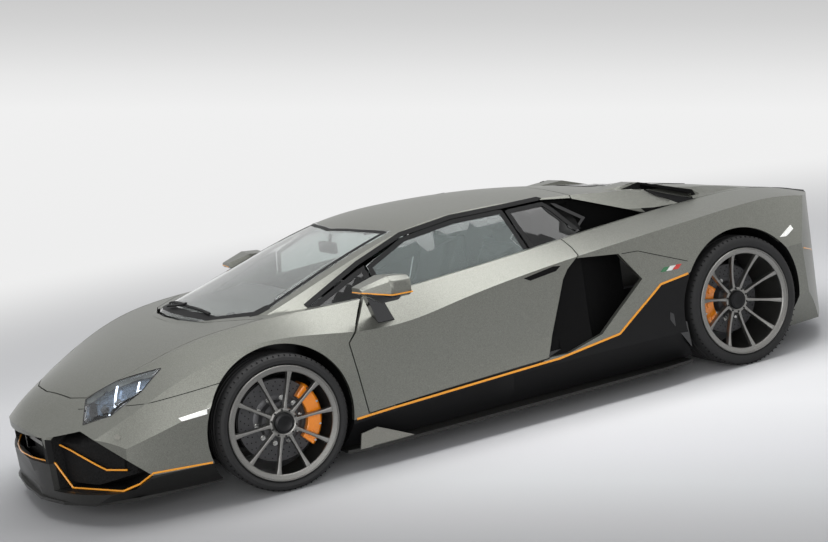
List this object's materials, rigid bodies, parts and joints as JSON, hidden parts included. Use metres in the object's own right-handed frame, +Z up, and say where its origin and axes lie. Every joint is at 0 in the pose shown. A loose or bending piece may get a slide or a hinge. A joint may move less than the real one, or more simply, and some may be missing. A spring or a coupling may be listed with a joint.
{
  "type": "supercar",
  "caption": "Low wedge-shaped mid-engined two-seat sports car with upward-swinging doors, a front boot lid and a rear engine lid.",
  "frame": {"origin": "on the ground under the middle of the overall box", "axes": "+X to the nose, +Y to the car's left, +Z up"},
  "size_m": [4.868, 2.26, 1.136],
  "materials": {
    "body_paint": "satin warm grey paint",
    "black_plastic": "matt black moulded plastic",
    "glass_screen": "clear tinted glass",
    "lamp_glass": "clear lamp cover",
    "red_lamp": "dark red lamp cover",
    "tyre": "black rubber",
    "wheel_metal": "satin grey lacquer",
    "brake_disc": "machined",
    "caliper_paint": "orange lacquer",
    "raw_alloy": "as cast",
    "frame_paint": "black paint",
    "exhaust_metal": "brushed",
    "cabin_leather": "black leather",
    "carbon_tub": "satin carbon composite"
  },
  "bodies": {
    "car": {"tub": "carbon_tub", "windscreen": "glass_screen", "side_windows": "glass_screen", "roof": "body_paint", "front_fenders": "body_paint", "front_bumper": "body_paint", "front_lip": "black_plastic", "headlamps": "lamp_glass", "rear_fenders": "body_paint", "quarters": "body_paint", "sills": "black_plastic", "rear_bumper": "black_plastic", "tail_panel": "black_plastic", "tail_lamps": "red_lamp", "diffuser": "black_plastic", "grille_linings": "black_plastic", "calipers_rear": "caliper_paint", "uprights_rear": "raw_alloy", "suspension_arms": "frame_paint", "rear_subframe": "frame_paint", "engine_block": "raw_alloy", "exhaust_tips": "exhaust_metal", "arch_liners": "black_plastic", "side_ducts": "black_plastic", "undertray": "black_plastic", "splitter": "body_paint", "dashboard": "cabin_leather", "seats": "cabin_leather", "steering_wheel": "cabin_leather"},
    "front_lid": {"front_lid": "body_paint"},
    "engine_lid": {"engine_lid": "body_paint"},
    "door_left": {"door_left": "body_paint", "door_glass_left": "glass_screen", "mirror_left": "body_paint"},
    "steer_left": {"knuckle_front_left": "raw_alloy", "caliper_front_left": "caliper_paint"},
    "wheel_front_left": {"tyre_front_left": "tyre", "rim_front_left": "wheel_metal", "disc_front_left": "brake_disc"},
    "wheel_rear_left": {"tyre_rear_left": "tyre", "rim_rear_left": "wheel_metal", "disc_rear_left": "brake_disc"},
    "door_right": {"door_right": "body_paint", "door_glass_right": "glass_screen", "mirror_right": "body_paint"},
    "steer_right": {"knuckle_front_right": "raw_alloy", "caliper_front_right": "caliper_paint"},
    "wheel_front_right": {"tyre_front_right": "tyre", "rim_front_right": "wheel_metal", "disc_front_right": "brake_disc"},
    "wheel_rear_right": {"tyre_rear_right": "tyre", "rim_rear_right": "wheel_metal", "disc_rear_right": "brake_disc"}
  },
  "joints": [
    {"name": "door_left", "type": "hinge", "parent": "car", "child": "door_left", "pos_m": [0.896, 0.785, 0.797], "axis": [0.1195, 0.9259, -0.3584], "range_deg": [0, 70]},
    {"name": "steer_left", "type": "hinge", "parent": "car", "child": "steer_left", "pos_m": [1.346, 0.8125, 0.3305], "axis": [0, 0, 1], "range_deg": [-30, 30]},
    {"name": "wheel_front_left", "type": "hinge", "parent": "steer_left", "child": "wheel_front_left", "pos_m": [1.346, 0.8625, 0.3305], "axis": [0, 1, 0], "continuous": true},
    {"name": "wheel_rear_left", "type": "hinge", "parent": "car", "child": "wheel_rear_left", "pos_m": [-1.354, 0.8225, 0.3555], "axis": [0, 1, 0], "continuous": true},
    {"name": "door_right", "type": "hinge", "parent": "car", "child": "door_right", "pos_m": [0.896, -0.785, 0.797], "axis": [-0.1195, 0.9259, 0.3584], "range_deg": [0, 70]},
    {"name": "steer_right", "type": "hinge", "parent": "car", "child": "steer_right", "pos_m": [1.346, -0.8125, 0.3305], "axis": [0, 0, 1], "range_deg": [-30, 30]},
    {"name": "wheel_front_right", "type": "hinge", "parent": "steer_right", "child": "wheel_front_right", "pos_m": [1.346, -0.8625, 0.3305], "axis": [0, 1, 0], "continuous": true},
    {"name": "wheel_rear_right", "type": "hinge", "parent": "car", "child": "wheel_rear_right", "pos_m": [-1.354, -0.8225, 0.3555], "axis": [0, 1, 0], "continuous": true},
    {"name": "front_lid", "type": "hinge", "parent": "car", "child": "front_lid", "pos_m": [1.286, 0, 0.802], "axis": [0, -1, 0], "range_deg": [0, 55]},
    {"name": "engine_lid", "type": "hinge", "parent": "car", "child": "engine_lid", "pos_m": [-0.611, 0, 1.1], "axis": [0, 1, 0], "range_deg": [0, 50]}
  ],
  "couplings": [
    {"joint": "steer_right", "follows": "steer_left", "ratio": 1}
  ]
}
